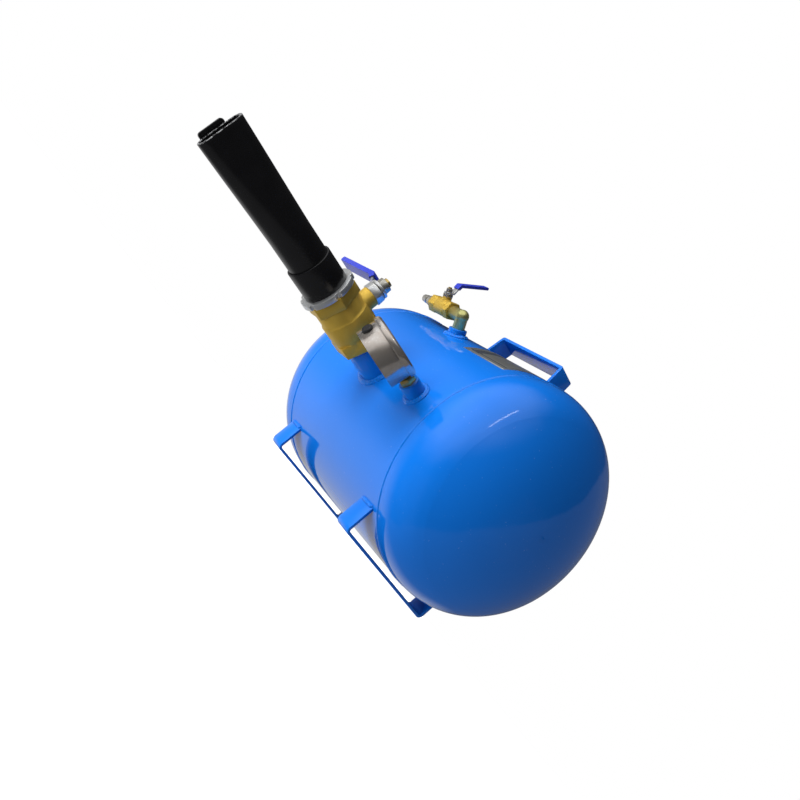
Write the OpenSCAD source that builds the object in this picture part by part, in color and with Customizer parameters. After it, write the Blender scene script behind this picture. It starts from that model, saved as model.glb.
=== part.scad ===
// Portable air tank for seating tyre beads: a welded pressure vessel on two
// feet, with a carry handle, a quick-opening outlet valve that feeds a
// flattened barrel, a pressure gauge and a small fill valve with its plug.
// Frame: +Z up, floor at Z = 0, tank axis along Y, outlet towards -X.

/* [Tank] */
// outside diameter of the shell
tank_d = 254; // [220:1:306]
// shell length between the two head seams
shell_len = 247; // [205:1:330]
// wall of the shell and the heads
wall = 3; // [2.5:0.1:4]
// depth of a dished head beyond its straight skirt
head_depth = 83; // [69:1:100]
// knuckle radius of a dished head
knuckle_r = 58.8; // [45:0.1:62]
// gap between the shell and the floor
ground_gap = 9; // [7:1:18]

/* [Feet and handle] */
// distance from a head seam to the middle of the foot beside it
foot_inset = 21.9; // [18:0.1:40]
// width of the flat bar of the feet
foot_bar_w = 25.4; // [20:0.1:32]
// thickness of the flat bar of the feet
foot_bar_t = 3.2; // [2.5:0.1:5]
// outside width across one foot
foot_span = 153; // [130:1:170]
// outside bend radius of a foot
foot_bend = 6; // [6:1:18]
// width of the flat bar of the handle
handle_w = 26; // [20:1:32]
// thickness of the flat bar of the handle
handle_t = 4; // [3:0.1:6]
// length of the handle along its top
handle_len = 119; // [100:1:140]
// extra reach of each handle leg at the tank
handle_splay = 4.5; // [0:0.5:10]
// height of the handle top above the shell
handle_rise = 34; // [24:1:48]

/* [Outlet] */
// outside diameter of the outlet pipe and of the barrel
pipe_d = 42.4; // [38:0.1:51]
// wall of the outlet pipe and of the barrel
pipe_wall = 2.6; // [2:0.1:3.5]
// distance from the shell to the middle of the outlet valve
valve_rise = 70; // [67:1:83]
// wall of the outlet valve ends at their flats
valve_wall = 3.8; // [3.5:0.1:6]
// reach of the lock ring past the pipe
ring_reach = 8.1; // [5:0.1:12]
// wall of the sleeve on the barrel
sleeve_wall = 2.3; // [1.8:0.1:4.8]
// length of the sleeve on the barrel
sleeve_len = 33; // [20:1:50]
// distance from the middle of the outlet valve to the mouth of the barrel
barrel_len = 214.5; // [175:0.5:260]
// distance from the middle of the outlet valve to the start of the flare
flare_start = 103; // [85:1:140]
// height of the flattened mouth
mouth_h = 48; // [44:1:52]
// thickness of the flattened mouth
mouth_t = 20; // [18:1:26]
// width of the tab on the mouth
tab_w = 27; // [20:1:32]
// reach of the tab past the mouth
tab_out = 5; // [3:0.5:10]

/* [Gauge] */
// distance from the front head seam to the middle of the gauge
gauge_inset = 38.1; // [30:0.1:48]
// height of the hexagon under the gauge
gauge_hex = 7.6; // [5:0.1:14]
// outside diameter of the gauge case
gauge_d = 61; // [55:1:74]
// reach of the bezel past the gauge case
bezel_reach = 2; // [1.5:0.1:4]
// lean of the dial towards the front head
gauge_lean = 11.5; // [0:0.5:20]

/* [Fill valve] */
// angle of the fill valve round the tank, from the outlet towards the handle
fill_angle = 50; // [35:1:58]
// place of the fill port along the tank
fill_y = 22.4; // [5:0.1:30]
// height of the fill valve axis above the shell
fill_rise = 22.5; // [21:0.5:30]

/* [Hidden] */

tank_r = tank_d / 2;
half_len = shell_len / 2;
axis_z = tank_r + ground_gap;
foot_y = half_len - foot_inset;
handle_top = tank_r + handle_rise;
skirt = 8;
lap = 14;
fit = 0.1;
crown_r = (pow(tank_r - knuckle_r, 2) + pow(head_depth, 2) - pow(knuckle_r, 2))
    / (2 * (head_depth - knuckle_r));
foot_top = axis_z - sqrt(tank_r * tank_r - foot_span * foot_span / 4);
pipe_r = pipe_d / 2;
valve_x = tank_r + valve_rise;
valve_af = pipe_d + 2 * valve_wall;
ring_d = pipe_d + 2 * ring_reach;
sleeve_d = pipe_d + 2 * sleeve_wall;
mouth_x = valve_x + barrel_len;
bush_r = 10.5;
gauge_r = gauge_d / 2;
bezel_r = gauge_r + bezel_reach;
gauge_y = gauge_inset - half_len;
gauge_bush_end = tank_r + 16;
gauge_x = gauge_bush_end + gauge_hex + bezel_r + 0.3;
plate_len = 76;
plate_inset = 17.5;
run = 0.06;
eps = 0.01;

$fn = 96;

BLUE = [0.05, 0.30, 0.85];
BRASS = [0.80, 0.65, 0.25];
STEEL = [0.75, 0.76, 0.78];
BLACK = [0.06, 0.06, 0.07];

// ---------- placing ----------
// Local frame on the outlet: z away from the tank, x up along the stem.
module on_outlet(dist) {
    translate([-dist, 0, axis_z]) rotate([0, -90, 0]) children();
}

// Same kind of frame for the fill valve: z along the tank, x away from it.
fill_stem_y = fill_y + 41.1;
fill_r = tank_r + fill_rise;
module on_fill() {
    translate([0, 0, axis_z]) rotate([0, 180 + fill_angle, 0])
        translate([fill_r, fill_stem_y, 0]) rotate([-90, 0, 0]) children();
}

// Frame of a port on the shell: z straight out of the tank.
module on_port(angle, y) {
    translate([0, y, axis_z]) rotate([0, angle - 90, 0]) children();
}

module on_gauge() {
    translate([-gauge_x, gauge_y, axis_z]) rotate([gauge_lean, 0, 0]) children();
}

module tank_core(r, length) {
    translate([0, 0, axis_z]) rotate([90, 0, 0])
        cylinder(r = r, h = length, center = true, $fn = 360);
}

module tube(ro, ri, z0, z1) {
    translate([0, 0, z0]) difference() {
        cylinder(r = ro, h = z1 - z0);
        translate([0, 0, -1]) cylinder(r = ri, h = z1 - z0 + 2);
    }
}

module hex_bar(af, z0, z1, turn = 30) {
    translate([0, 0, z0]) rotate([0, 0, turn])
        cylinder(r = af / sqrt(3), h = z1 - z0, $fn = 6);
}

// ---------- pressure vessel ----------
module port_hole(angle, y, r) {
    on_port(angle, y) translate([0, 0, tank_r - 20]) cylinder(r = r, h = 40);
}

module shell() {
    color(BLUE) difference() {
        tank_core(tank_r, shell_len);
        tank_core(tank_r - wall, shell_len + 2);
        port_hole(0, 0, pipe_r);
        port_hole(0, gauge_y, bush_r);
        port_hole(fill_angle, fill_y, bush_r);
    }
}

// Half outline of a dished head, thinned by `off` on every side.
module dish(off) {
    span = (crown_r - off) / (crown_r - knuckle_r);
    meet = (tank_r - knuckle_r) * span;
    base = skirt - 4;
    square([tank_r - off, skirt]);
    intersection() {
        translate([0, skirt + head_depth - crown_r]) circle(r = crown_r - off);
        translate([0, base]) square([meet, head_depth + 4]);
    }
    intersection() {
        translate([tank_r - knuckle_r, skirt]) circle(r = knuckle_r - off);
        translate([tank_r - knuckle_r, base]) square([knuckle_r, head_depth]);
    }
}

module head_solid() {
    lap_r = tank_r - wall - fit;
    rotate_extrude() {
        difference() {
            dish(0);
            translate([0, -1]) square([lap_r - wall, 5]);
            dish_hollow();
        }
        translate([lap_r - wall, -lap]) square([wall, lap + 1]);
    }
}

module dish_hollow() {
    intersection() {
        dish(wall);
        translate([0, 3]) square([tank_r, head_depth + skirt]);
    }
}

module front_head() {
    color(BLUE) translate([0, -half_len, axis_z]) rotate([90, 0, 0]) head_solid();
}

module rear_head() {
    color(BLUE) translate([0, half_len, axis_z]) rotate([-90, 0, 0]) head_solid();
}

module seam_bead() {
    rotate_extrude() difference() {
        translate([tank_r - 1.6, 0]) circle(r = 3);
        translate([0, -5]) square([tank_r, 10]);
    }
}

module seam_welds() {
    color(BLUE) for (s = [-1, 1])
        translate([0, s * half_len, axis_z]) rotate([90, 0, 0]) seam_bead();
}

// ---------- feet and handle ----------
module foot_area(inset) {
    w = foot_span / 2 - inset;
    r = foot_bend - inset;
    translate([-w, inset + r]) square([2 * w, foot_top + 1 - inset - r]);
    translate([-w + r, inset]) square([2 * (w - r), foot_top]);
    for (s = [-1, 1]) translate([s * (w - r), inset + r]) circle(r = r);
}

module foot_at(y) {
    color(BLUE) difference() {
        translate([0, y, 0]) rotate([90, 0, 0])
            linear_extrude(height = foot_bar_w, center = true) intersection() {
                difference() {
                    foot_area(0);
                    foot_area(foot_bar_t);
                }
                translate([-foot_span, 0]) square([2 * foot_span, foot_top]);
            }
        tank_core(tank_r, shell_len + 20);
    }
}

module front_foot() { foot_at(-foot_y); }

module rear_foot() { foot_at(foot_y); }

handle_half = handle_len / 2;
handle_base_z = axis_z + tank_r - 8;
handle_top_z = axis_z + handle_top;
module handle() {
    slope = handle_splay / (handle_top - tank_r + 1);
    reach = handle_half + slope * (handle_top_z - handle_base_z);
    side = handle_t * sqrt(1 + slope * slope);
    color(BLUE) difference() {
        rotate([90, 0, 90]) linear_extrude(height = handle_w, center = true)
            polygon([
                [-reach, handle_base_z], [-handle_half, handle_top_z],
                [handle_half, handle_top_z], [reach, handle_base_z],
                [reach - side, handle_base_z],
                [handle_half - side + slope * handle_t, handle_top_z - handle_t],
                [-handle_half + side - slope * handle_t, handle_top_z - handle_t],
                [-reach + side, handle_base_z]
            ]);
        tank_core(tank_r, shell_len);
    }
}

// Fillet beads where the bars meet the shell.
module bracket_welds() {
    leg_y = handle_half + handle_splay;
    color(BLUE) {
        for (s = [-1, 1], y = [-foot_y, foot_y]) difference() {
            translate([s * foot_span / 2, y, foot_top]) rotate([90, 0, 0])
                cylinder(r = 2.4, h = foot_bar_w - 2, center = true);
            tank_core(tank_r, shell_len + 20);
            foot_at(y);
        }
        for (s = [-1, 1]) difference() {
            translate([0, s * (leg_y + 0.2), axis_z + tank_r - 0.3]) rotate([0, 90, 0])
                cylinder(r = 2.6, h = handle_w - 2, center = true);
            tank_core(tank_r, shell_len);
            handle();
        }
    }
}

// ---------- ports ----------
stub_end = valve_x - 19.5;
module outlet_stub() {
    color(BLUE) on_outlet(0) tube(pipe_r, pipe_r - pipe_wall, tank_r - 12, stub_end);
}

module gauge_bushing() {
    color(BLUE) on_port(0, gauge_y) tube(bush_r, 6.5, tank_r - 8, gauge_bush_end);
}

fill_bush_end = tank_r + 8;
module fill_bushing() {
    color(BLUE) on_port(fill_angle, fill_y) tube(bush_r, 6.2, tank_r - 8, fill_bush_end);
}

module port_bead(angle, y, r, size) {
    difference() {
        on_port(angle, y) rotate_extrude() polygon([
            [r, tank_r - 6], [r + size, tank_r - 6], [r + size, tank_r - 0.6],
            [r + size * 0.35, tank_r + size * 0.45], [r, tank_r + size * 0.9]
        ]);
        tank_core(tank_r, shell_len + 20);
    }
}

module port_welds() {
    color(BLUE) {
        port_bead(0, 0, pipe_r, 4.5);
        port_bead(0, gauge_y, bush_r, 3.5);
        port_bead(fill_angle, fill_y, bush_r, 3.5);
    }
}

module nameplate() {
    color(STEEL) translate([0, plate_inset - half_len + plate_len, axis_z])
        rotate([90, 0, 0]) rotate([0, 0, 110])
            rotate_extrude(angle = 30) translate([tank_r, 0]) square([0.5, plate_len]);
}

// ---------- ball valves, in their local frame ----------
module valve_ball(r, bore) {
    difference() {
        rotate([90, 0, 180]) sphere(r = r);
        rotate([90, 0, 0]) cylinder(r = bore, h = 2 * r + 2, center = true);
        translate([r - r * 0.16, 0, 0])
            cube([r * 0.34, 2 * r, r * 0.3], center = true);
    }
}

module valve_seat(ball_r, ro, ri, z0, z1) {
    difference() {
        tube(ro, ri, z0, z1);
        sphere(r = ball_r + 0.03);
    }
}

// Stem: driving tang in the ball, blow-out collar, shank and threaded end.
module valve_stem(ball_r, shank_r, collar_r, collar0, collar1, top) {
    translate([ball_r * 0.86 + 0.05, 0, 0]) rotate([0, 90, 0]) {
        translate([0, 0, (collar0 - ball_r * 0.86) / 2])
            cube([ball_r * 0.3 - 0.12, collar_r * 1.2, collar0 - ball_r * 0.86], center = true);
    }
    rotate([0, 90, 0]) {
        translate([0, 0, collar0]) cylinder(r = collar_r, h = collar1 - collar0);
        translate([0, 0, collar1 - eps]) cylinder(r = shank_r, h = top - collar1);
    }
}

module hex_nut(af, bore, z0, z1) {
    rotate([0, 90, 0]) difference() {
        intersection() {
            hex_bar(af, z0, z1);
            translate([0, 0, z0]) cylinder(r1 = af * 0.56, r2 = af * 0.53, h = z1 - z0);
        }
        translate([0, 0, z0 - 1]) cylinder(r = bore, h = z1 - z0 + 2);
    }
}

// Turns a side view, drawn as [reach, height], into the local frame.
module side_view() {
    multmatrix([[0, 1, 0, 0], [1, 0, 0, 0], [0, 0, 1, 0], [0, 0, 0, 1]]) children();
}

// ---------- outlet valve ----------
ball_r = 19;
seat_z = 14;
casting_r = pipe_r + 4.8;
spigot_r = pipe_r + 1.2;
throat_r = sqrt(ball_r * ball_r - seat_z * seat_z) + 0.5;
module outlet_valve_body() {
    flat = valve_af;
    color(BRASS) on_outlet(valve_x) difference() {
        union() {
            hex_bar(flat, -33.5, -20.5);
            translate([0, 0, -20.6]) cylinder(r = pipe_r + 4, h = 4);
            translate([0, 0, -17]) cylinder(r = casting_r, h = 20);
            translate([0, 0, 2.9]) cylinder(r1 = casting_r, r2 = spigot_r + 2.2, h = 3);
            translate([0, 0, 5.8]) cylinder(r = spigot_r + 2.2, h = 13.2);
            translate([20, 0, 0]) rotate([0, 90, 0]) cylinder(r = 11, h = 14);
            translate([14, 0, 0]) rotate([0, 90, 0]) cylinder(r1 = 17, r2 = 11, h = 13);
        }
        translate([0, 0, -34]) cylinder(r = pipe_r, h = 14.5);
        translate([0, 0, -20]) cylinder(r = throat_r, h = 10);
        translate([0, 0, -seat_z]) cylinder(r = ball_r + 0.4, h = 2 * seat_z);
        translate([0, 0, seat_z - eps]) cylinder(r = spigot_r, h = 10);
        rotate([0, 90, 0]) {
            cylinder(r = 7 + run, h = 26);
            translate([0, 0, 10]) cylinder(r = 5 + run, h = 30);
            translate([0, 0, 29]) cylinder(r = 8, h = 10);
        }
    }
}

module outlet_valve_cap() {
    color(BRASS) on_outlet(valve_x) difference() {
        union() {
            hex_bar(valve_af, 19, 32);
            translate([0, 0, seat_z]) cylinder(r = spigot_r, h = 6);
        }
        translate([0, 0, seat_z - 1]) cylinder(r = throat_r, h = 12);
        translate([0, 0, 19]) cylinder(r = pipe_r, h = 14);
    }
}

module outlet_ball() {
    color(STEEL) on_outlet(valve_x) valve_ball(ball_r, 12.5);
}

module outlet_seats() {
    color([0.95, 0.95, 0.93]) on_outlet(valve_x) for (s = [0, 180])
        rotate([0, s, 0]) valve_seat(ball_r, ball_r + 0.4, 12.7, 8, seat_z);
}

module outlet_stem() {
    color(BRASS) on_outlet(valve_x) valve_stem(ball_r, 5, 7, 20, 25.8, 57);
}

module outlet_packing() {
    color([0.95, 0.95, 0.93]) on_outlet(valve_x) rotate([0, 90, 0])
        tube(8, 5 + run, 29, 31.5);
}

module outlet_gland_nut() {
    color(STEEL) on_outlet(valve_x) {
        hex_nut(22, 5 + run, 34, 42.5);
        rotate([0, 90, 0]) tube(8, 5 + run, 31.5, 34.05);
    }
}

module outlet_lever() {
    color(STEEL) on_outlet(valve_x) difference() {
        side_view() intersection() {
            linear_extrude(height = 26, center = true) polygon([
                [-11, 43.5], [14, 43.5], [28, 52.2], [104, 52.2],
                [104, 55.2], [27, 55.2], [13, 46.5], [-11, 46.5]
            ]);
            rotate([-90, 0, 0]) linear_extrude(height = 70) union() {
                circle(r = 11);
                polygon([[0, -11], [18, -6], [104, -6], [104, 6], [18, 6], [0, 11]]);
            }
        }
        rotate([0, 90, 0]) cylinder(r = 5, h = 60);
    }
}

module outlet_lever_grip() {
    color(BLUE) on_outlet(valve_x) difference() {
        side_view() linear_extrude(height = 15, center = true) polygon([
            [24, 47.6], [30.2, 51], [106, 51], [107.2, 52.5],
            [107.2, 56], [106, 57], [26.5, 57], [19.8, 52.6]
        ]);
        outlet_lever_hollow();
    }
}

module outlet_lever_hollow() {
    side_view() linear_extrude(height = 12, center = true) polygon([
        [-11, 43.5], [14, 43.5], [28, 52.2], [104, 52.2],
        [104, 55.2], [27, 55.2], [13, 46.5], [-11, 46.5]
    ]);
}

module outlet_lever_nut() {
    color(STEEL) on_outlet(valve_x) hex_nut(15, 5, 46.5, 54);
}

// ---------- barrel ----------
ring_x0 = valve_x + 32;
ring_x1 = ring_x0 + 6;
module lock_ring() {
    color(STEEL) on_outlet(0) difference() {
        tube(ring_d / 2, pipe_r, ring_x0, ring_x1);
        for (a = [0 : 60 : 359]) rotate([0, 0, a + 30])
            translate([ring_d / 2 + 1.2, 0, ring_x0 - 1]) cylinder(r = 3, h = 8, $fn = 32);
    }
}

module barrel_sleeve() {
    color(BLACK) on_outlet(0)
        tube(sleeve_d / 2, pipe_r, ring_x1, ring_x1 + sleeve_len);
}

barrel_x0 = valve_x + 19;
flare_x = valve_x + flare_start;
module barrel_core(inset, ends) {
    translate([0, 0, barrel_x0 - ends])
        cylinder(r = pipe_r - inset, h = flare_x - barrel_x0 + ends);
    hull() {
        translate([0, 0, flare_x - 2]) cylinder(r = pipe_r - inset + 0.05, h = 2);
        for (s = [-1, 1]) translate([s * (mouth_h - mouth_t) / 2, 0, mouth_x - 8])
            cylinder(r = mouth_t / 2 - inset, h = 8 + ends);
    }
}

module barrel() {
    color(BLACK) on_outlet(0) difference() {
        barrel_core(0, 0);
        barrel_core(pipe_wall, 1);
    }
}

tab_lap = 8;
tab_t = 4;
tab_round = 3;
module tab_area() {
    reach = tab_lap + tab_out;
    square([tab_w, reach - tab_round]);
    translate([tab_round, 0]) square([tab_w - 2 * tab_round, reach]);
    for (x = [tab_round, tab_w - tab_round])
        translate([x, reach - tab_round]) circle(r = tab_round);
}

module rim_tab() {
    color(BLACK) on_outlet(0) difference() {
        translate([9.5 - tab_w, mouth_t / 2 - 1 + tab_t, mouth_x - tab_lap])
            rotate([90, 0, 0]) linear_extrude(height = tab_t) tab_area();
        barrel_core(0, 0);
    }
}

// ---------- gauge ----------
case_z0 = -15.6;
plug_z = -5;
pinion_r = 2;
sector_x = 11;
sector_r = sector_x - pinion_r - 0.3;
pivot_r = 0.9;
module gauge_case() {
    color(STEEL) on_gauge() difference() {
        translate([0, 0, case_z0]) cylinder(r = gauge_r, h = 22.6);
        translate([0, 0, case_z0 + 1.2]) cylinder(r = gauge_r - 1.2, h = 30);
        rotate([0, 90, 0]) cylinder(r = 4.4, h = 40);
        rotate([0, 0, 180]) translate([0, 0, plug_z]) rotate([0, 90, 0]) cylinder(r = 4.5, h = 40);
    }
}

module gauge_bezel() {
    color(STEEL) on_gauge() difference() {
        union() {
            translate([0, 0, 4.5]) cylinder(r = bezel_r, h = 5);
            translate([0, 0, 9.5]) cylinder(r1 = bezel_r, r2 = bezel_r - 2.5, h = 2);
        }
        translate([0, 0, 4]) cylinder(r = gauge_r, h = 6.2);
        translate([0, 0, 4]) cylinder(r = gauge_r - 3, h = 10);
    }
}

module gauge_lens() {
    color([0.85, 0.92, 0.95]) on_gauge() translate([0, 0, 8.2])
        cylinder(r = gauge_r - 0.05, h = 2);
}

module gauge_dial() {
    color([0.96, 0.96, 0.96]) on_gauge() difference() {
        translate([0, 0, 4.6]) cylinder(r = gauge_r - 1.2, h = 0.8);
        cylinder(r = 2.2, h = 6);
    }
}

module gauge_pointer() {
    tip = gauge_r - 6.5;
    color(BLACK) on_gauge() rotate([0, 0, -135]) {
        translate([0, 0, -9.8]) cylinder(r = pivot_r, h = 16);
        translate([0, 0, -5.4]) cylinder(r = pinion_r, h = 2.4);
        translate([0, 0, 5.8]) cylinder(r = 3, h = 1.6);
        translate([0, 0, 6]) linear_extrude(height = 0.8)
            polygon([[-1.4, -8], [1.4, -8], [1.2, 0], [0.25, tip], [-0.25, tip], [-1.2, 0]]);
    }
}

module gauge_frame() {
    color(BRASS) on_gauge() difference() {
        union() {
            for (z = [-9.8, -1.2]) translate([-7, -6, z]) cube([26, 12, 1.4]);
            for (x = [-5, 17]) translate([x, 0, -9]) cylinder(r = 1.4, h = 8.5);
        }
        for (x = [0, sector_x])
            translate([x, 0, -12]) cylinder(r = pivot_r + run, h = 16);
    }
}

module gauge_sector() {
    color(BRASS) on_gauge() translate([sector_x, 0, 0]) {
        translate([0, 0, -9.8]) cylinder(r = pivot_r, h = 10);
        translate([0, 0, -5]) linear_extrude(height = 1.6) intersection() {
            circle(r = sector_r);
            polygon([[0, 0], [-5.9, 12.7], [-14, -1]]);
        }
        translate([0, 0, -5.4]) cylinder(r = 1.8, h = 2.4);
    }
}

module gauge_tube() {
    color(BRASS) on_gauge() translate([0, 0, -6]) rotate([0, 0, 20])
        rotate_extrude(angle = 300) translate([21.5, 0]) difference() {
            square([2.6, 8], center = true);
            square([1.4, 6.8], center = true);
        }
}

module gauge_socket() {
    bush_face = gauge_x - gauge_bush_end;
    color(BRASS) on_gauge() {
        translate([19.2, -6.5, -10]) cube([gauge_r - 22, 13, 12 - 0.5]);
        rotate([0, 90, 0]) translate([0, 0, gauge_r - 2.9])
            cylinder(r = 4.4, h = bush_face - gauge_r + 2.9);
        rotate([0, 90, 0]) hex_bar(15, bezel_r + 0.3, bush_face);
        rotate([0, 90, 0]) translate([0, 0, bush_face - 0.1]) cylinder(r = 6.5, h = 14);
    }
}

module gauge_plug() {
    color(BLACK) on_gauge() rotate([0, 0, 180]) translate([0, 0, plug_z])
        rotate([0, 90, 0]) {
            translate([0, 0, gauge_r - 2.6]) cylinder(r = 4.5, h = 3);
            translate([0, 0, gauge_r]) cylinder(r1 = 6, r2 = 5, h = 2.4);
        }
}

// ---------- fill valve ----------
fill_ball_r = 7.5;
elbow_z = -41.1;
module fill_elbow() {
    color(BRASS) on_fill() difference() {
        union() {
            translate([0, 0, elbow_z]) rotate([0, -90, 0])
                cylinder(r = 7.2, h = fill_rise - 8);
            translate([0, 0, elbow_z]) rotate([0, -90, 0])
                cylinder(r = 6.2, h = fill_rise);
            translate([0, 0, elbow_z]) sphere(r = 7.9);
            translate([0, 0, elbow_z]) cylinder(r = 7.2, h = -20.5 - elbow_z);
            translate([0, 0, elbow_z]) cylinder(r = 5.8, h = -10.5 - elbow_z);
        }
        translate([0, 0, elbow_z]) rotate([0, -90, 0]) cylinder(r = 3.8, h = 30);
        translate([0, 0, elbow_z]) cylinder(r = 3.8, h = 40);
    }
}

module fill_valve_body() {
    color(BRASS) on_fill() difference() {
        union() {
            hex_bar(19, -20.5, -11);
            translate([0, 0, -11.5]) cylinder(r = 10, h = 20.5);
            rotate([0, 90, 0]) cylinder(r = 5.6, h = 13);
        }
        translate([0, 0, -21]) cylinder(r = 5.8, h = 10.5);
        translate([0, 0, -11]) cylinder(r = 4, h = 8);
        translate([0, 0, -6.5]) cylinder(r = 7.8, h = 13);
        translate([0, 0, 6.5 - eps]) cylinder(r = 8.6, h = 6);
        rotate([0, 90, 0]) {
            cylinder(r = 3.2 + run, h = 10);
            cylinder(r = 2.3 + run, h = 20);
            translate([0, 0, 11]) cylinder(r = 4, h = 10);
        }
    }
}

module fill_valve_cap() {
    color(BRASS) on_fill() difference() {
        union() {
            hex_bar(19, 9, 22);
            translate([0, 0, 6.5]) cylinder(r = 8.6, h = 4);
        }
        translate([0, 0, 6]) cylinder(r = 4, h = 8);
        translate([0, 0, 12]) cylinder(r = 5.8, h = 12);
    }
}

module fill_ball() {
    color(STEEL) on_fill() valve_ball(fill_ball_r, 4);
}

module fill_seats() {
    color([0.95, 0.95, 0.93]) on_fill() for (s = [0, 180])
        rotate([0, s, 0]) valve_seat(fill_ball_r, 7.8, 4, 3, 6.5);
}

module fill_stem() {
    color(BRASS) on_fill() valve_stem(fill_ball_r, 2.3, 3.2, 8, 9.9, 24.5);
}

module fill_packing() {
    color([0.95, 0.95, 0.93]) on_fill() rotate([0, 90, 0]) tube(4, 2.3 + run, 11, 12.5);
}

module fill_gland_nut() {
    color(STEEL) on_fill() {
        hex_nut(11.5, 2.3 + run, 13, 16.5);
        rotate([0, 90, 0]) tube(4, 2.3 + run, 12.5, 13.05);
    }
}

module fill_lever() {
    color(STEEL) on_fill() difference() {
        side_view() intersection() {
            linear_extrude(height = 12, center = true) polygon([
                [-5.5, 17], [6, 17], [12.5, 28.2], [47, 32.6],
                [46.8, 34.2], [11.4, 29.8], [4.9, 18.6], [-5.5, 18.6]
            ]);
            rotate([-90, 0, 0]) linear_extrude(height = 50) union() {
                circle(r = 5.5);
                translate([0, -4.2]) square([60, 8.4]);
            }
        }
        rotate([0, 90, 0]) cylinder(r = 2.3, h = 40);
    }
}

module fill_lever_grip() {
    color(BLUE) on_fill() difference() {
        side_view() linear_extrude(height = 10.6, center = true) polygon([
            [10.7, 23.6], [13.2, 27.3], [48.4, 31.8], [49.2, 33],
            [48.8, 34.8], [47.6, 35.3], [10.6, 30.7], [7.2, 25]
        ]);
        side_view() linear_extrude(height = 8.4, center = true) polygon([
            [-5.5, 17], [6, 17], [12.5, 28.2], [47, 32.6],
            [46.8, 34.2], [11.4, 29.8], [4.9, 18.6], [-5.5, 18.6]
        ]);
    }
}

module fill_lever_nut() {
    color(STEEL) on_fill() hex_nut(7.4, 2.3, 18.6, 23);
}

// Male quick-connect plug: hexagon, shoulder, groove and nose.
module fill_plug() {
    color(STEEL) on_fill() difference() {
        union() {
            translate([0, 0, 14]) cylinder(r = 5.8, h = 9);
            hex_bar(14, 22, 27);
            translate([0, 0, 27 - eps]) cylinder(r = 5.9, h = 7);
            translate([0, 0, 33.9]) cylinder(r = 4.1, h = 3.6);
            translate([0, 0, 37.4]) cylinder(r = 5.1, h = 4.2);
            translate([0, 0, 41.5]) cylinder(r = 4.5, h = 5.5);
        }
        translate([0, 0, 13]) cylinder(r = 3, h = 40);
    }
}

shell();
front_head();
rear_head();
seam_welds();
front_foot();
rear_foot();
handle();
bracket_welds();
outlet_stub();
gauge_bushing();
fill_bushing();
port_welds();
nameplate();
outlet_valve_body();
outlet_valve_cap();
outlet_ball();
outlet_seats();
outlet_stem();
outlet_packing();
outlet_gland_nut();
outlet_lever();
outlet_lever_grip();
outlet_lever_nut();
lock_ring();
barrel_sleeve();
barrel();
rim_tab();
gauge_case();
gauge_bezel();
gauge_lens();
gauge_dial();
gauge_pointer();
gauge_frame();
gauge_sector();
gauge_tube();
gauge_socket();
gauge_plug();
fill_elbow();
fill_valve_body();
fill_valve_cap();
fill_ball();
fill_seats();
fill_stem();
fill_packing();
fill_gland_nut();
fill_lever();
fill_lever_grip();
fill_lever_nut();
fill_plug();
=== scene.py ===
import logging
import math
from collections.abc import Callable, Iterable
from dataclasses import dataclass, field
from enum import Enum

import bmesh
import bpy
from mathutils import Matrix, Vector, noise


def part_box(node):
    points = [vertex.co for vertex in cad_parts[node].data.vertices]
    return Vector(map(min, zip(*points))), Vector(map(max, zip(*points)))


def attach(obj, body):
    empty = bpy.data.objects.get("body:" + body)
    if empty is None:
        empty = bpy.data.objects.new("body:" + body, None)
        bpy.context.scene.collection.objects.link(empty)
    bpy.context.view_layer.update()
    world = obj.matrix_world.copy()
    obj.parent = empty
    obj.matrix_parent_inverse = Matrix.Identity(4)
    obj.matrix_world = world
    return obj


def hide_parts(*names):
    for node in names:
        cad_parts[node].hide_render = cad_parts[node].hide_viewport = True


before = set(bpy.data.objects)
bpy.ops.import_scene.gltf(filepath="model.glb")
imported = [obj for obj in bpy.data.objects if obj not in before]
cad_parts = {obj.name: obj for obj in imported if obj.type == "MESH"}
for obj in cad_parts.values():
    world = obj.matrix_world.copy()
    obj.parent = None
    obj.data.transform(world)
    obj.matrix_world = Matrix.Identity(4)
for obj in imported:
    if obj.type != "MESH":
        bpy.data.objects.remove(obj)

LOG = logging.getLogger("air_tank")
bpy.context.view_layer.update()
MM = 0.001
Colour = tuple[float, float, float]


# ---------------------------------------------------------------- shader maths
class Wire:
    """A shader socket that can be used in sums with numbers and other sockets."""

    def __init__(self, graph: "Graph", socket: bpy.types.NodeSocket) -> None:
        """Keeps the graph and the socket."""
        self.graph = graph
        self.socket = socket

    def _math(self, operation: str, first: object, second: object = None) -> "Wire":
        """Adds one Math node.

        Args:
            operation: the Math node's operation.
            first: its first value or wire.
            second: its second value or wire, where it has one.

        Returns:
            The node's result.
        """
        values = {0: first} if second is None else {0: first, 1: second}
        return self.graph.node("ShaderNodeMath", {"operation": operation}, values)

    def __add__(self, other: object) -> "Wire":
        """Sum."""
        return self._math("ADD", self, other)

    __radd__ = __add__

    def __mul__(self, other: object) -> "Wire":
        """Product."""
        return self._math("MULTIPLY", self, other)

    __rmul__ = __mul__

    def __sub__(self, other: object) -> "Wire":
        """Difference."""
        return self._math("SUBTRACT", self, other)

    def __rsub__(self, other: object) -> "Wire":
        """Difference the other way round."""
        return self._math("SUBTRACT", other, self)

    def absolute(self) -> "Wire":
        """Value without its sign."""
        return self._math("ABSOLUTE", self)

    def greatest(self, other: object) -> "Wire":
        """The larger of two values."""
        return self._math("MAXIMUM", self, other)

    def between(self, low: float, high: float) -> "Wire":
        """Smooth step from 0 at low to 1 at high.

        Args:
            low: value that gives 0.
            high: value that gives 1.

        Returns:
            The stepped value.
        """
        return self.graph.node(
            "ShaderNodeMapRange",
            {"interpolation_type": "SMOOTHSTEP"},
            {"Value": self, "From Min": low, "From Max": high},
        )


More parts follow.
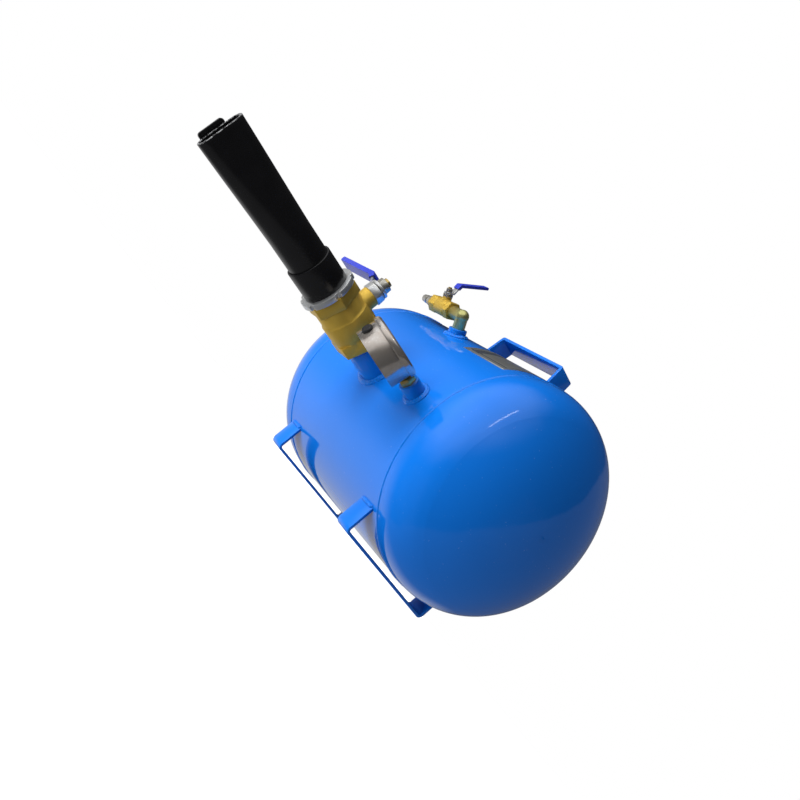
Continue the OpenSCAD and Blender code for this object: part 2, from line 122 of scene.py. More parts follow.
class Graph:
    """The node tree of one material, ending in a Principled shader."""

    def __init__(self, name: str, holder: bpy.types.World | None = None) -> None:
        """Makes an empty material of that name, or empties a world.

        Args:
            name: the material's name.
            holder: a world to work on instead of a new material.
        """
        self.material = holder or bpy.data.materials.new(name)
        self.material.use_nodes = True
        self.tree = self.material.node_tree
        self.tree.nodes.clear()
        self._object = None

    def node(self, kind: str, settings: dict | None = None, inputs: dict | None = None,
             output: int | str | None = 0) -> Wire | None:
        """Adds a node, sets its settings, then fills its sockets.

        Args:
            kind: the node's type.
            settings: attributes of the node, and "stops" for a colour ramp.
            inputs: a value or a Wire for each socket, by name or number.
            output: the socket to give back, or None.

        Returns:
            That output as a Wire, or None.
        """
        made = self.tree.nodes.new(kind)
        for key, value in (settings or {}).items():
            if key == "stops":
                self._stops(made, value)
            else:
                setattr(made, key, value)
        for key, value in (inputs or {}).items():
            if isinstance(value, Wire):
                self.tree.links.new(value.socket, made.inputs[key])
            else:
                made.inputs[key].default_value = value
        return None if output is None else Wire(self, made.outputs[output])

    @staticmethod
    def _stops(ramp: bpy.types.Node, stops: list[tuple[float, Colour]]) -> None:
        """Puts the stops on a colour ramp."""
        elements = ramp.color_ramp.elements
        while len(elements) < len(stops):
            elements.new(0.5)
        for element, (place, colour) in zip(elements, stops):
            element.position = place
            element.color = (*colour, 1.0)

    def place(self, scale: Colour = (1.0, 1.0, 1.0)) -> Wire:
        """Object coordinates, stretched by scale."""
        if self._object is None:
            self._object = self.node("ShaderNodeTexCoord", output="Object")
        if scale == (1.0, 1.0, 1.0):
            return self._object
        return self.node("ShaderNodeVectorMath", {"operation": "MULTIPLY"},
                         {0: self._object, 1: scale})

    def axis(self, name: str) -> Wire:
        """One of the object coordinates, X, Y or Z."""
        return self.node("ShaderNodeSeparateXYZ", inputs={0: self.place()}, output=name)

    def cloud(self, scale: float, detail: float = 3.0, rough: float = 0.5,
              stretch: Colour = (1.0, 1.0, 1.0)) -> Wire:
        """Noise between 0 and 1.

        Args:
            scale: how many clouds to a metre.
            detail: octaves.
            rough: how strong the fine octaves are.
            stretch: scale along each axis.

        Returns:
            The noise value.
        """
        return self.node("ShaderNodeTexNoise", None, {
            "Vector": self.place(stretch), "Scale": scale, "Detail": detail,
            "Roughness": rough})

    def blend(self, factor: Wire, low: Colour | Wire, high: Colour | Wire) -> Wire:
        """Mixes two colours.

        Args:
            factor: 0 gives low and 1 gives high.
            low: first colour.
            high: second colour.

        Returns:
            The mixed colour.
        """
        mix = self.tree.nodes.new("ShaderNodeMix")
        mix.data_type = "RGBA"
        sockets = {"Factor_Float": factor, "A_Color": low, "B_Color": high}
        for socket in mix.inputs:
            value = sockets.get(socket.identifier)
            if isinstance(value, Wire):
                self.tree.links.new(value.socket, socket)
            elif value is not None:
                socket.default_value = (*value, 1.0)
        out = next(s for s in mix.outputs if s.identifier == "Result_Color")
        return Wire(self, out)

    def bump(self, height: Wire, depth: float, after: Wire | None = None) -> Wire:
        """Normal bent by a height.

        Args:
            height: wire between 0 and 1.
            depth: how deep a height of 1 is, in metres.
            after: an earlier bump to add to.

        Returns:
            The normal.
        """
        inputs = {"Height": height, "Distance": depth, "Strength": 1.0}
        if after is not None:
            inputs["Normal"] = after
        return self.node("ShaderNodeBump", None, inputs)

    def finish(self, **sockets: object) -> bpy.types.Material:
        """Adds the Principled shader and the output.

        Args:
            sockets: values or wires, with _ for a space in a socket's name.

        Returns:
            The material.
        """
        inputs = {key.replace("_", " "): value for key, value in sockets.items()}
        shader = self.node("ShaderNodeBsdfPrincipled", None, inputs)
        self.node("ShaderNodeOutputMaterial", None, {"Surface": shader}, None)
        return self.material


# ---------------------------------------------------------------- finishes
@dataclass(frozen=True)
class Finish:
    """A surface finish: its material slot in the record and its main colour."""

    slot: str
    colour: Colour

    def build(self) -> bpy.types.Material:
        """Makes the material."""
        raise NotImplementedError

    def shade(self, amount: float) -> Colour:
        """The colour, lighter or darker by a factor."""
        return tuple(min(1.0, part * amount) for part in self.colour)


@dataclass(frozen=True)
class Enamel(Finish):
    """Sprayed gloss enamel with orange peel, thin dust and lighter thin spots."""

    roughness: float = 0.04
    coat: float = 0.15
    peel: float = 0.00004

    def build(self) -> bpy.types.Material:
        """Makes the enamel."""
        graph = Graph(f"enamel_{self.slot}")
        drift = graph.cloud(7.0, 2.0)
        fleck = graph.cloud(420.0, 2.0).between(0.70, 0.80)
        colour = graph.blend(drift, self.shade(0.92), self.shade(1.08))
        colour = graph.blend(fleck * 0.12, colour, (0.55, 0.68, 0.85))
        smear = graph.cloud(24.0, 4.0, 0.6)
        rough = smear * 0.06 + self.roughness
        peel = graph.cloud(190.0, 1.0, 0.3)
        wave = graph.bump(graph.cloud(14.0, 1.0), self.peel * 6.0)
        normal = graph.bump(peel, self.peel, wave)
        return graph.finish(Base_Color=colour, Roughness=rough, Normal=normal,
                            Coat_Weight=self.coat, Coat_Roughness=0.03,
                            Specular_IOR_Level=0.55)


@dataclass(frozen=True)
class BarrelEnamel(Finish):
    """Satin black with drawn lines along X and bare metal at the cut mouth."""

    mouth: float = -0.4112

    def build(self) -> bpy.types.Material:
        """Makes the satin black."""
        graph = Graph(f"satin_{self.slot}")
        lines = graph.cloud(900.0, 3.0, 0.6, (0.02, 1.0, 1.0))
        grime = graph.cloud(60.0, 4.0)
        bare = graph.axis("X").between(self.mouth + 0.0006, self.mouth - 0.0001)
        chips = graph.cloud(260.0, 3.0, 0.7).between(0.45, 0.62)
        worn = bare * chips
        colour = graph.blend(grime, self.colour, self.shade(1.9))
        colour = graph.blend(worn, colour, (0.52, 0.53, 0.54))
        rough = lines * 0.05 + grime * 0.08 + 0.17
        normal = graph.bump(grime, 0.00005)
        return graph.finish(Base_Color=colour, Roughness=rough, Normal=normal,
                            Metallic=worn)


@dataclass(frozen=True)
class ForgedBrass(Finish):
    """Forged, tumbled brass: fine sand grain, dull patches and darker hollows."""

    grain: float = 0.00012
    dark: Colour = (0.36, 0.22, 0.05)

    def build(self) -> bpy.types.Material:
        """Makes the forged brass."""
        graph = Graph(f"forged_{self.slot}")
        patch = graph.cloud(55.0, 4.0, 0.6)
        sand = graph.cloud(1500.0, 2.0, 0.6)
        colour = graph.blend(patch.between(0.30, 0.75), self.colour, self.shade(1.16))
        colour = graph.blend(sand.between(0.62, 0.86) * 0.5, colour, self.dark)
        rough = patch * 0.16 + sand * 0.10 + 0.30
        normal = graph.bump(sand, self.grain, graph.bump(patch, 0.0002))
        return graph.finish(Base_Color=colour, Roughness=rough, Normal=normal,
                            Metallic=patch * 0.2 + 0.55)


class Lay(Enum):
    """Which axis of the object the tool marks of a turned piece run round."""

    ROUND_X = (1.0, 0.03, 0.03)
    ROUND_Z = (0.03, 0.03, 1.0)
    EVEN = (1.0, 1.0, 1.0)


@dataclass(frozen=True)
class Metal(Finish):
    """Turned, plated or polished metal with tool marks and a faint colour bloom."""

    bloom: Colour = (0.8, 0.8, 0.8)
    roughness: float = 0.2
    lay: Lay = Lay.EVEN
    depth: float = 0.00003
    marks: float = 900.0

    def build(self) -> bpy.types.Material:
        """Makes the metal."""
        graph = Graph(f"metal_{self.slot}_{self.lay.name.lower()}")
        lines = graph.cloud(self.marks, 3.0, 0.65, self.lay.value)
        patch = graph.cloud(70.0, 4.0, 0.6)
        colour = graph.blend(patch.between(0.35, 0.70), self.colour, self.bloom)
        colour = graph.blend(lines.between(0.60, 0.80) * 0.22, colour, self.shade(0.5))
        rough = lines * 0.12 + patch * 0.10 + (self.roughness - 0.08)
        normal = graph.bump(lines, self.depth)
        return graph.finish(Base_Color=colour, Roughness=rough, Normal=normal,
                            Metallic=patch * 0.15 + 0.82)


@dataclass(frozen=True)
class Soft(Finish):
    """Vinyl, rubber or seat plastic: a fine matt skin with rubbed patches."""

    roughness: float = 0.3
    skin: float = 0.00005
    scale: float = 700.0

    def build(self) -> bpy.types.Material:
        """Makes the soft plastic."""
        graph = Graph(f"soft_{self.slot}")
        patch = graph.cloud(45.0, 3.0)
        skin = graph.cloud(self.scale, 2.0, 0.6)
        colour = graph.blend(patch, self.shade(0.82), self.shade(1.2))
        rough = patch * 0.14 + skin * 0.08 + (self.roughness - 0.1)
        normal = graph.bump(skin, self.skin, graph.bump(patch, 0.0003))
        return graph.finish(Base_Color=colour, Roughness=rough, Normal=normal,
                            Specular_IOR_Level=0.45)


@dataclass(frozen=True)
class Foil(Finish):
    """Brushed foil plate with a dark printed frame and blank fields."""

    centre: Colour = (0.0, 0.0, 0.0)
    half: tuple[float, float] = (0.038, 0.033)

    def build(self) -> bpy.types.Material:
        """Makes the foil."""
        graph = Graph(f"foil_{self.slot}")
        brush = graph.cloud(1100.0, 3.0, 0.7, (1.0, 0.03, 1.0))
        along = (graph.axis("Y") - self.centre[1]).absolute()
        across = (graph.axis("X") - self.centre[0]).absolute()
        inner = along.between(self.half[0] - 0.0052, self.half[0] - 0.0048)
        outer = along.between(self.half[0] - 0.0030, self.half[0] - 0.0034)
        rim = across.between(self.half[1] - 0.0060, self.half[1] - 0.0056)
        rim_out = across.between(self.half[1] - 0.0038, self.half[1] - 0.0042)
        line = (inner * outer * rim_out).greatest(rim * rim_out * outer)
        band = (graph.axis("Y") - (self.centre[1] + 0.022)).absolute()
        head = band.between(0.0075, 0.0071) * across.between(0.0245, 0.0241)
        print_mask = line.greatest(head)
        colour = graph.blend(brush, self.shade(0.85), self.shade(1.12))
        colour = graph.blend(print_mask, colour, (0.03, 0.035, 0.045))
        rough = brush * 0.18 + 0.24
        return graph.finish(Base_Color=colour, Roughness=rough,
                            Metallic=(1.0 - print_mask) * 0.9,
                            Normal=graph.bump(brush, 0.00003))


@dataclass(frozen=True)
class ClearLens(Finish):
    """Clear gauge lens with faint smears."""

    def build(self) -> bpy.types.Material:
        """Makes the lens."""
        graph = Graph(f"clear_{self.slot}")
        smear = graph.cloud(90.0, 4.0, 0.6)
        rough = smear * 0.06 + 0.01
        alpha = smear.between(0.4, 0.8) * 0.05 + 0.10
        made = graph.finish(Base_Color=(*self.colour, 1.0), Roughness=rough, Alpha=alpha,
                            Specular_IOR_Level=0.9)
        made.blend_method = "BLEND"
        return made


@dataclass(frozen=True)
class Studio:
    """Floor, lights and camera."""

    floor_half: float = 3.0
    lens_mm: float = 35.54
    eye: tuple[float, float, float] = (-0.5434, -0.7135, 0.0075)
    right: Colour = (0.46946, -0.44280, 0.76389)
    up: Colour = (-0.69781, 0.34402, 0.62826)
    back: Colour = (-0.54099, -0.82800, -0.14748)
    sky: Colour = (-0.852, 0.0, 0.523)
    front: Colour = (-0.232, -0.897, -0.377)
    table: float = 0.11
    sweep: float = 0.60
    ceiling: float = 0.85
    room: float = 0.03

    def floor(self) -> bpy.types.Object:
        """Makes the pale floor."""
        bm = bmesh.new()
        bmesh.ops.create_grid(bm, x_segments=8, y_segments=8, size=self.floor_half)
        made = Workshop.link("studio_floor", bm)
        graph = Graph("floor_white")
        speck = graph.cloud(3.0, 2.0)
        colour = graph.blend(speck, (0.93, 0.93, 0.93), (0.95, 0.95, 0.95))
        rough = speck * 0.05 + 0.75
        made.data.materials.append(graph.finish(
            Base_Color=colour, Roughness=rough, Emission_Color=(1.0, 1.0, 1.0, 1.0),
            Emission_Strength=0.85))
        made.visible_glossy = made.visible_diffuse = made.visible_shadow = False
        return made

    @staticmethod
    def panel(name: str, place: Colour, aim: Colour, size: tuple[float, float],
              power: float, mirrored: bool = False) -> None:
        """Adds a soft box.

        Args:
            name: the lamp's name.
            place: where it hangs.
            aim: the point it faces.
            size: its width and height.
            power: watts.
            mirrored: True shows it in glossy surfaces.
        """
        lamp = bpy.data.lights.new(name, "AREA")
        lamp.shape = "RECTANGLE"
        lamp.size, lamp.size_y = size
        lamp.energy = power
        made = bpy.data.objects.new(name, lamp)
        bpy.context.scene.collection.objects.link(made)
        made.location = place
        made.rotation_euler = (Vector(aim) - Vector(place)).to_track_quat("-Z", "Y").to_euler()
        made.visible_camera = False
        made.visible_glossy = mirrored

    def world(self) -> None:
        """White backdrop; for reflections a pale sweep, a dim room and a bright ceiling."""
        world = bpy.data.worlds.new("studio_white")
        bpy.context.scene.world = world
        graph = Graph("studio_white", world)
        way = graph.node("ShaderNodeTexCoord", output="Generated")

        def along(axis: Colour) -> Wire:
            """How far a direction points along an axis."""
            return graph.node("ShaderNodeVectorMath", {"operation": "DOT_PRODUCT"},
                              {0: way, 1: axis}, "Value")
        ripple = graph.node("ShaderNodeTexNoise", None, {
            "Vector": way, "Scale": 2.2, "Detail": 1.0}) * 0.16 - 0.08
        rise, near = along(self.sky) + ripple, along(self.front)
        aside = along(self.right)
        low = rise.between(-0.32, -0.35)
        behind = near.between(0.05, -0.45) * aside.between(0.10, -0.20)
        high = rise.between(0.45, 0.90)
        fade = 1.0 - rise.between(-0.05, 0.40) * 0.6
        level = (low * self.table).greatest(behind * fade * self.sweep)
        level = level.greatest(high * self.ceiling) + self.room
        lit = graph.node("ShaderNodeBackground", None, {"Strength": level})
        white = graph.node("ShaderNodeBackground", None, {"Strength": 1.0})
        for shader in (lit, white):
            shader.socket.node.inputs["Color"].default_value = (1.0, 1.0, 1.0, 1.0)
        seen = graph.node("ShaderNodeLightPath", output="Is Camera Ray")
        mix = graph.node("ShaderNodeMixShader", None, {0: seen, 1: lit, 2: white})
        graph.node("ShaderNodeOutputWorld", None, {"Surface": mix}, None)

    def camera(self) -> None:
        """Places the camera."""
        data = bpy.data.cameras.new("view_camera")
        data.lens = self.lens_mm
        data.sensor_width = 36.0
        data.clip_start = 0.01
        made = bpy.data.objects.new("view_camera", data)
        bpy.context.scene.collection.objects.link(made)
        turn = Matrix((self.right, self.up, self.back)).transposed().to_4x4()
        made.matrix_world = Matrix.Translation(self.eye) @ turn
        bpy.context.scene.camera = made

    def build(self) -> None:
        """Builds the whole studio."""
        self.camera()
        self.world()
        self.floor()
        aim = (-0.05, 0.0, 0.13)
        self.panel("key_panel", (-1.68, 0.30, 0.57), aim, (1.3, 1.3), 58.0)
        self.panel("bounce_panel", (-0.95, -0.15, -1.2), aim, (1.4, 1.4), 25.0)
        self.panel("front_panel", (0.85, -1.7, 0.10), aim, (1.2, 1.2), 9.0)
        self.panel("rear_panel", (1.5, 0.5, 0.95), aim, (1.3, 1.3), 15.0)
        self.panel("strip_panel", (-1.15, -1.0, 1.35), aim, (0.05, 0.9), 0.9, True)
        bpy.context.scene.view_settings.view_transform = "Standard"


# ---------------------------------------------------------------- mesh tools
class Workshop:
    """Turns bmesh data into dressed pieces."""

    built: dict[str, bpy.types.Material] = {}

    @staticmethod
    def link(name: str, bm: bmesh.types.BMesh, angle: float = 38.0) -> bpy.types.Object:
        """Makes an object of a bmesh, smooth up to an angle.

        Args:
            name: the object's name.
            bm: its mesh, which is freed.
            angle: edges sharper than this many degrees stay sharp.

        Returns:
            The object.
        """
        mesh = bpy.data.meshes.new(name)
        bm.to_mesh(mesh)
        bm.free()
        mesh.shade_smooth()
        mesh.set_sharp_from_angle(angle=math.radians(angle))
        made = bpy.data.objects.new(name, mesh)
        bpy.context.scene.collection.objects.link(made)
        return made

    @classmethod
    def material(cls, finish: Finish) -> bpy.types.Material:
        """The finish's material, built once."""
        key = repr(finish)
        if key not in cls.built:
            cls.built[key] = finish.build()
        return cls.built[key]

    @classmethod
    def dress(cls, node: str, finish: Finish) -> None:
        """Gives a CAD node its finish."""
        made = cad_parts[node]
        if made.material_slots:
            for slot in made.material_slots:
                slot.material = cls.material(finish)
        else:
            made.data.materials.append(cls.material(finish))
        LOG.info("dressed %s", node)

    @classmethod
    def fit(cls, piece: bpy.types.Object, body: str, finish: Finish,
            *nodes: str) -> bpy.types.Object:
        """Finishes a new piece: material, body, slot and the nodes it stands for.

        Args:
            piece: the new object.
            body: the CAD body that it rides on.
            finish: its finish.
            nodes: the CAD nodes that it replaces.

        Returns:
            The same object.
        """
        piece.data.materials.append(cls.material(finish))
        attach(piece, body)
        if nodes:
            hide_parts(*nodes)
        LOG.info("built %s: %d faces", piece.name, len(piece.data.polygons))
        return piece

    @staticmethod
    def copy(node: str) -> bmesh.types.BMesh:
        """A merged copy of a CAD node's mesh, flat faces joined."""
        bm = bmesh.new()
        bm.from_mesh(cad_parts[node].data)
        bmesh.ops.remove_doubles(bm, verts=bm.verts, dist=0.02 * MM)
        bmesh.ops.dissolve_limit(bm, angle_limit=math.radians(0.6), verts=bm.verts,
                                 edges=bm.edges)
        return bm

    @staticmethod
    def soften(bm: bmesh.types.BMesh, edges: Iterable[bmesh.types.BMEdge], width: float,
               segments: int = 2) -> None:
        """Rounds some edges.

        Args:
            bm: the mesh.
            edges: the edges to round.
            width: how far the rounding reaches, in metres.
            segments: steps across it.
        """
        bmesh.ops.bevel(bm, geom=list(edges), offset=width, offset_type="OFFSET",
                        segments=segments, profile=0.5, affect="EDGES", material=-1,
                        clamp_overlap=True)

    @classmethod
    def eased(cls, node: str, name: str, body: str, finish: Finish, width: float,
              segments: int = 2, angle: float = 28.0,
              shape: Callable[[bmesh.types.BMesh], None] | None = None) -> bpy.types.Object:
        """A CAD node's copy with its sharp edges rounded, in the node's place.

        Args:
            node: the CAD node.
            name: the new piece's name.
            body: the CAD body that it rides on.
            finish: its finish.
            width: rounding in millimetres.
            segments: steps across the rounding.
            angle: edges sharper than this many degrees are rounded.
            shape: work on the mesh before the rounding.

        Returns:
            The new piece.
        """
        bm = cls.copy(node)
        if shape is not None:
            shape(bm)
        sharp = [edge for edge in bm.edges if edge.is_manifold
                 and edge.calc_face_angle(0.0) > math.radians(angle)]
        cls.soften(bm, sharp, width * MM, segments)
        return cls.fit(cls.link(name, bm), body, finish, node)

    @staticmethod
    def loft(bm: bmesh.types.BMesh, rings: list[list[Vector]], closed: bool) -> None:
        """Sweeps a ring of vertices through a row of places.

        Args:
            bm: the mesh to add to.
            rings: the places of each ring's vertices, all of one length.
            closed: True joins the last ring to the first, False caps the ends.
        """
        count = len(rings[0])
        first = bmesh.ops.create_circle(bm, cap_ends=not closed, segments=count, radius=1.0)
        ring = list(first["verts"])
        for vert, place in zip(ring, rings[0]):
            vert.co = place
        start = [bm.edges.get((ring[i], ring[(i + 1) % count])) for i in range(count)]
        edges = start
        for places in rings[1:]:
            grown = bmesh.ops.extrude_edge_only(bm, edges=edges)["geom"]
            fresh = {item for item in grown if isinstance(item, bmesh.types.BMVert)}
            ring = [next(e.other_vert(v) for e in v.link_edges if e.other_vert(v) in fresh)
                    for v in ring]
            for vert, place in zip(ring, places):
                vert.co = place
            edges = [bm.edges.get((ring[i], ring[(i + 1) % count])) for i in range(count)]
        if closed:
            bmesh.ops.bridge_loops(bm, edges=start + edges)
        else:
            bmesh.ops.contextual_create(bm, geom=edges)
        bmesh.ops.recalc_face_normals(bm, faces=bm.faces)


@dataclass
class WeldBead:
    """A rippled weld bead laid along a path."""

    radius: float
    pitch: float = 3.2
    ripple: float = 0.10
    lump: float = 0.16
    sides: int = 12
    steps_per_ripple: int = 5

    def lay(self, bm: bmesh.types.BMesh, path: Callable[[float], tuple[Vector, Vector, Vector]],
            length: float, closed: bool, seed: float) -> None:
        """Adds the bead to a mesh.

        Args:
            bm: the mesh.
            path: gives the centre, the side and the up direction at a share 0 to 1.
            length: the path's length in millimetres.
            closed: True for a ring.
            seed: shifts the lumps.
        """
        waves = max(3, round(length / self.pitch))
        count = waves * self.steps_per_ripple
        rings = []
        for step in range(count if closed else count + 1):
            share = step / count
            centre, side, up = path(share)
            phase = (share * waves) % 1.0
            bulge = self.ripple * (0.5 - abs(phase - 0.5)) * 2.0
            rough = self.lump * noise.noise(Vector((centre * 140.0)) + Vector((seed, 0, 0)))
            size = self.radius * (1.0 - self.ripple + bulge + rough)
            if not closed:
                size *= min(1.0, 0.45 + 6.0 * min(share, 1.0 - share))
            rings.append([
                centre + (side * math.cos(turn) + up * math.sin(turn)) * size * MM
                for turn in (math.tau * i / self.sides for i in range(self.sides))])
        Workshop.loft(bm, rings, closed)


# ---------------------------------------------------------------- sub-assemblies
@dataclass
class Vessel:
    """Shell, heads, seams, ports and plate."""

    paint: Finish
    foil: Finish
    tank_r: float = 127.0
    axis_z: float = 136.0
    seam_y: float = 123.5
    fill_angle: float = 50.0
    fill_y: float = 22.4
    gauge_y: float = -85.4
    pipe_r: float = 21.2
    bush_r: float = 10.5

    def seam(self) -> None:
        """Lays the two seam beads."""
        bm = bmesh.new()
        bead = WeldBead(radius=2.3, pitch=3.4, ripple=0.07, lump=0.10, sides=10,
                        steps_per_ripple=3)
        around = math.tau * self.tank_r
        for index, end in enumerate((-self.seam_y, self.seam_y)):
            def path(share: float, end: float = end) -> tuple[Vector, Vector, Vector]:
                """Circle round the shell."""
                turn = math.tau * share
                out = Vector((math.cos(turn), 0.0, math.sin(turn)))
                centre = out * (self.tank_r - 1.35) * MM
                return (centre + Vector((0.0, end * MM, self.axis_z * MM)),
                        Vector((0.0, 1.0, 0.0)), out)
            bead.lay(bm, path, around, True, 3.0 + index)
        Workshop.fit(Workshop.link("seam_bead", bm, 60.0), "tank", self.paint, "seam_welds")

    def port_path(self, angle: float, along: float,
                  radius: float) -> Callable[[float], tuple[Vector, Vector, Vector]]:
        """Path of the bead round a pipe that stands on the shell.

        Args:
            angle: the port's place round the tank, from the outlet side.
            along: its place along the tank in millimetres.
            radius: radius of the ring in millimetres.

        Returns:
            The path.
        """
        turn = math.radians(angle)
        out = Vector((-math.cos(turn), 0.0, math.sin(turn)))
        side = Vector((math.sin(turn), 0.0, math.cos(turn)))
        home = Vector((0.0, along * MM, self.axis_z * MM))

        def path(share: float) -> tuple[Vector, Vector, Vector]:
            """Saddle curve."""
            phase = math.tau * share
            a, b = radius * math.cos(phase), radius * math.sin(phase)
            height = math.sqrt(self.tank_r ** 2 - a * a)
            centre = home + (side * a + Vector((0.0, b, 0.0)) + out * (height + 0.2)) * MM
            radial = (side * math.cos(phase) + Vector((0.0, math.sin(phase), 0.0)))
            return centre, radial, out
        return path

    def ports(self) -> None:
        """Lays the beads round the three ports, with a second pass over the first."""
        bm = bmesh.new()
        for angle, along, radius, size in (
                (0.0, 0.0, self.pipe_r, 3.0), (0.0, self.gauge_y, self.bush_r, 2.7),
                (self.fill_angle, self.fill_y, self.bush_r, 2.7)):
            WeldBead(radius=size, pitch=3.0, ripple=0.16, lump=0.35).lay(
                bm, self.port_path(angle, along, radius + 0.9),
                math.tau * radius, True, along)
            WeldBead(radius=size * 0.62, pitch=4.1, ripple=0.2, lump=0.5).lay(
                bm, self.port_path(angle, along, radius + 0.9 + size * 0.8),
                math.tau * (radius + 3.0), True, along + 9.0)
        Workshop.fit(Workshop.link("port_bead", bm, 60.0), "tank", self.paint, "port_welds")

    def build(self) -> None:
        """Dresses and builds the vessel."""
        for node in ("shell", "front_head", "rear_head"):
            Workshop.dress(node, self.paint)
        for node in ("outlet_stub", "gauge_bushing", "fill_bushing"):
            Workshop.eased(node, f"{node}_skin", "tank", self.paint, 0.7, 3)
        Workshop.eased("nameplate", "plate_foil", "tank", self.foil, 0.15, 1)
        self.seam()
        self.ports()


@dataclass
class Stand:
    """Feet, handle and their welds."""

    paint: Finish
    foot_x: float = 76.5
    foot_y: float = 101.6
    foot_top: float = 34.6
    leg_y: float = 64.2
    tank_r: float = 127.0
    crown_z: float = 263.0
    bar: float = 23.0

    @staticmethod
    def bend(bm: bmesh.types.BMesh) -> None:
        """Rounds the two bends of the handle, outside and inside."""
        top = max(vert.co.z for vert in bm.verts)
        for low, high, width in ((0.3 * MM, -0.3 * MM, 3.2), (4.3 * MM, 3.7 * MM, 0.9)):
            picked = [edge for edge in bm.edges
                      if abs(edge.verts[0].co.x - edge.verts[1].co.x) > 20 * MM
                      and all(high < top - v.co.z < low for v in edge.verts)]
            Workshop.soften(bm, picked, width * MM, 5)

    def beads(self) -> None:
        """Lays the fillet beads of the feet and the handle."""
        bm = bmesh.new()
        bead = WeldBead(radius=2.5, pitch=3.0, ripple=0.16, lump=0.3)
        for side in (-1, 1):
            for along in (-self.foot_y, self.foot_y):
                out = Vector((side * 0.8, 0.0, -0.6))

                def foot(share: float, side: int = side,
                         along: float = along) -> tuple[Vector, Vector, Vector]:
                    """Line along the foot's edge."""
                    y = along + (share - 0.5) * self.bar
                    spot = Vector((side * (self.foot_x + 0.1), y, self.foot_top - 0.2))
                    return spot * MM, Vector((0.5 * side, 0.0, 0.85)), out
                bead.lay(bm, foot, self.bar, False, side + along)

            def leg(share: float, side: int = side) -> tuple[Vector, Vector, Vector]:
                """Line along the handle's root."""
                x = (share - 0.5) * self.bar
                drop = self.crown_z - self.tank_r + math.sqrt(self.tank_r ** 2 - x * x)
                spot = Vector((x, side * (self.leg_y + 0.4), drop + 0.3))
                return spot * MM, Vector((0.0, side, 0.0)), Vector((0.0, 0.0, 1.0))
            bead.lay(bm, leg, self.bar, False, side * 5.0)
        Workshop.fit(Workshop.link("bracket_bead", bm, 60.0), "tank", self.paint,
                     "bracket_welds")

    def build(self) -> None:
        """Builds the feet and the handle."""
        for node in ("front_foot", "rear_foot"):
            Workshop.eased(node, f"{node}_bar", "tank", self.paint, 0.45, 2)
        Workshop.eased("handle", "handle_bar", "tank", self.paint, 0.5, 2, shape=self.bend)
        self.beads()


@dataclass
class OutletValve:
    """The big ball valve and its lever."""

    brass: Finish
    zinc: Finish
    nickel: Finish
    vinyl: Finish
    stem: Finish
    seat: Finish
    ball: Finish

    def build(self) -> None:
        """Builds the valve."""
        Workshop.eased("outlet_valve_body", "outlet_casting", "tank", self.brass, 0.7, 2)
        Workshop.eased("outlet_valve_cap", "outlet_end", "tank", self.brass, 0.9, 2)
        Workshop.eased("outlet_gland_nut", "outlet_gland", "tank", self.zinc, 0.35)
        Workshop.eased("outlet_lever", "outlet_lever_bar", "outlet_handle", self.zinc, 0.35)
        Workshop.eased("outlet_lever_grip", "outlet_grip", "outlet_handle", self.vinyl, 1.1, 4)
        Workshop.eased("outlet_lever_nut", "outlet_nut", "outlet_handle", self.nickel, 0.5)
        Workshop.eased("outlet_stem", "outlet_spindle", "outlet_handle", self.stem, 0.3)
        for node in ("outlet_seats", "outlet_packing"):
            Workshop.dress(node, self.seat)
        Workshop.dress("outlet_ball", self.ball)


@dataclass
class Barrel:
    """Lock ring, sleeve, flared barrel and its tab."""

    black: Finish
    collar: Finish
    zinc: Finish
    axis_z: float = 136.0
    radius: float = 21.2
    wall: float = 2.6
    start: float = 216.0
    flare: float = 300.0
    mouth: float = 411.5
    mouth_h: float = 48.0
    mouth_t: float = 20.0
    round_off: float = 0.7
    segments: int = 96

    def ring(self, along: float, inset: float) -> list[Vector]:
        """One cross-section of the barrel.

        Args:
            along: distance from the tank axis in millimetres.
            inset: how far inside the outer skin.

        Returns:
            The places of the ring's vertices.
        """
        share = min(1.0, max(0.0, (along - self.flare) / (self.mouth - self.flare)))
        bend = share * share * (3.0 - 2.0 * share) * 0.25 + share * 0.75
        size = self.radius + (self.mouth_t / 2 - self.radius) * bend - inset
        reach = (self.mouth_h - self.mouth_t) / 2 * bend
        places = []
        for i in range(self.segments):
            turn = math.tau * (i + 0.5) / self.segments
            z = size * math.cos(turn) + math.copysign(reach, math.cos(turn))
            places.append(Vector((-along, size * math.sin(turn), self.axis_z + z)) * MM)
        return places

    def tube(self) -> None:
        """Builds the barrel as one closed wall."""
        r = self.round_off
        outer = [self.start, 240.0, 270.0, 290.0]
        outer += [self.flare + i * (self.mouth - r - self.flare) / 24 for i in range(25)]
        rings = [self.ring(x, 0.0) for x in outer]
        for i in range(1, 5):
            turn = math.pi / 2 * i / 4
            rings.append(self.ring(self.mouth - r + r * math.sin(turn),
                                   r - r * math.cos(turn)))
        for i in range(0, 5):
            turn = math.pi / 2 * i / 4
            rings.append(self.ring(self.mouth - r + r * math.cos(turn),
                                   self.wall - r + r * math.sin(turn)))
        rings += [self.ring(x, self.wall) for x in reversed(outer)]
        bm = bmesh.new()
        Workshop.loft(bm, rings, True)
        bmesh.ops.recalc_face_normals(bm, faces=bm.faces)
        Workshop.fit(Workshop.link("barrel_tube", bm), "tank", self.black, "barrel")

    def build(self) -> None:
        """Builds the barrel."""
        self.tube()
        Workshop.eased("barrel_sleeve", "sleeve_collar", "tank", self.collar, 0.8, 3)
        Workshop.eased("rim_tab", "mouth_tab", "tank", self.collar, 0.6, 2)
        Workshop.eased("lock_ring", "lock_nut", "tank", self.zinc, 0.5, 2)


